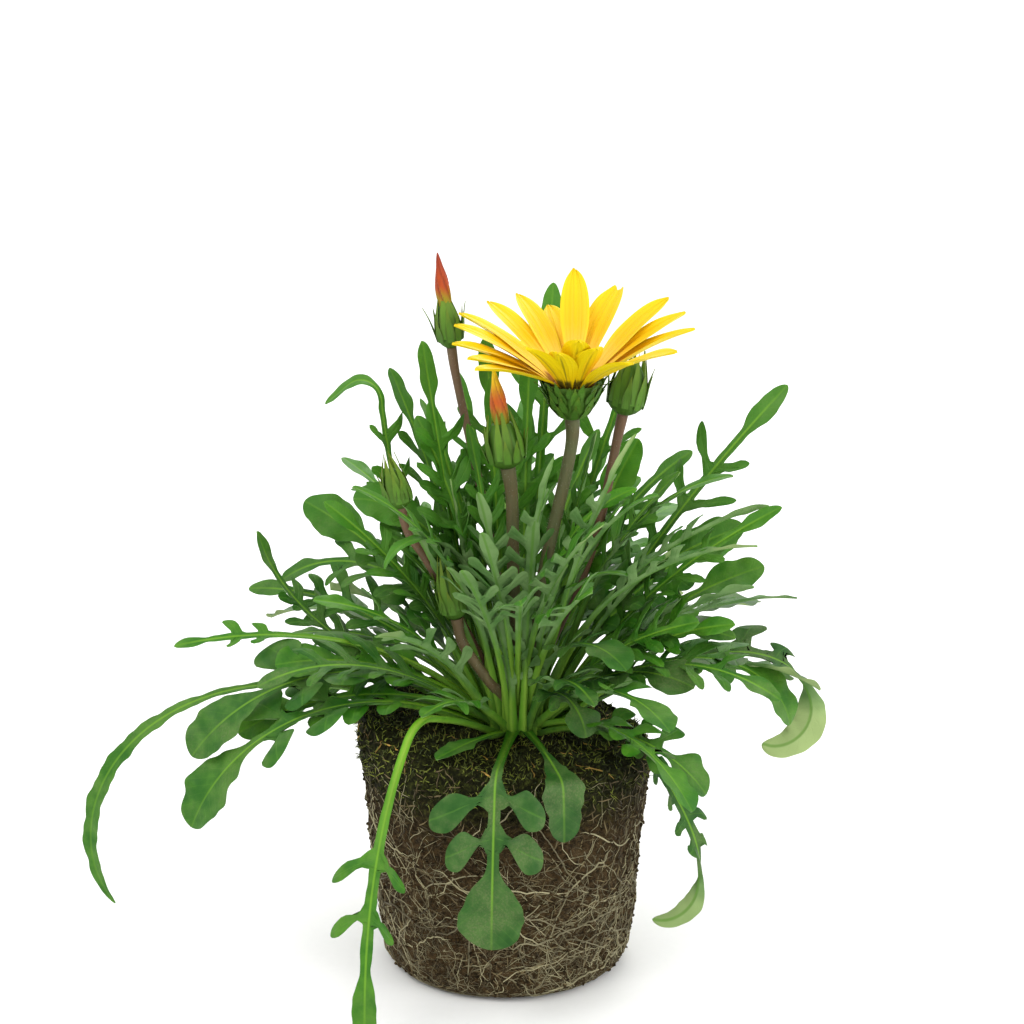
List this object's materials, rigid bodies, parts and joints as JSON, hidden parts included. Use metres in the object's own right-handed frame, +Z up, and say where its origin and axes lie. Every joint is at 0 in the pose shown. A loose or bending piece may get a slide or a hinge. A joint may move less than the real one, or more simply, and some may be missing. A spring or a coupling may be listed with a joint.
{
  "type": "gazania plant",
  "caption": "Gazania lifted from its pot: yellow daisy flower head and buds on bare stalks over a rosette of lobed green leaves, standing on its root-bound soil plug.",
  "frame": {"origin": "centre of the soil plug's flat underside, on the surface it stands on", "axes": "+Z up through the plug; -Y is the front, with the broad leaf that hangs down the plug; +X is to the right seen from the front"},
  "size_m": [0.2517, 0.1937, 0.2478],
  "materials": {
    "soil": "rough, moist potting soil with moss on the top",
    "root": "pale fibrous roots",
    "leaf": "soft, slightly felted leaf with a paler rib",
    "petal": "satin petal",
    "disc": "grainy florets",
    "cup": "smooth green bracts with brown edges",
    "stalk": "finely haired stalk, dull olive brown",
    "bud_red": "rolled petals, brick red",
    "bud_orange": "rolled petals, orange"
  },
  "bodies": {
    "root": {"soil_plug": "soil", "root_net": "root", "foliage": "leaf", "leaf_left_rising": "leaf", "leaf_left_far": "leaf", "leaf_left_trailing": "leaf", "leaf_front_left_hanging": "leaf", "leaf_front_left_short": "leaf", "leaf_front_broad": "leaf", "leaf_front_strap": "leaf", "leaf_right_hanging": "leaf", "leaf_right_drooping": "leaf", "leaf_right_low": "leaf", "leaf_right_curling": "leaf", "leaf_back_right_low": "leaf", "leaf_back_right": "leaf", "leaf_back": "leaf", "leaf_back_left": "leaf", "leaf_back_left_low": "leaf", "flower_stalk": "stalk", "flower_cup": "cup", "flower_petals": "petal", "flower_disc": "disc", "bud_red_tall_stalk": "stalk", "bud_red_tall_cup": "cup", "bud_red_tall_petals": "bud_red", "bud_orange_front_stalk": "stalk", "bud_orange_front_cup": "cup", "bud_orange_front_petals": "bud_orange", "bud_green_right_stalk": "stalk", "bud_green_right_cup": "cup", "bud_green_front_stalk": "stalk", "bud_green_front_cup": "cup", "bud_green_left_stalk": "stalk", "bud_green_left_cup": "cup"}
  },
  "joints": []
}
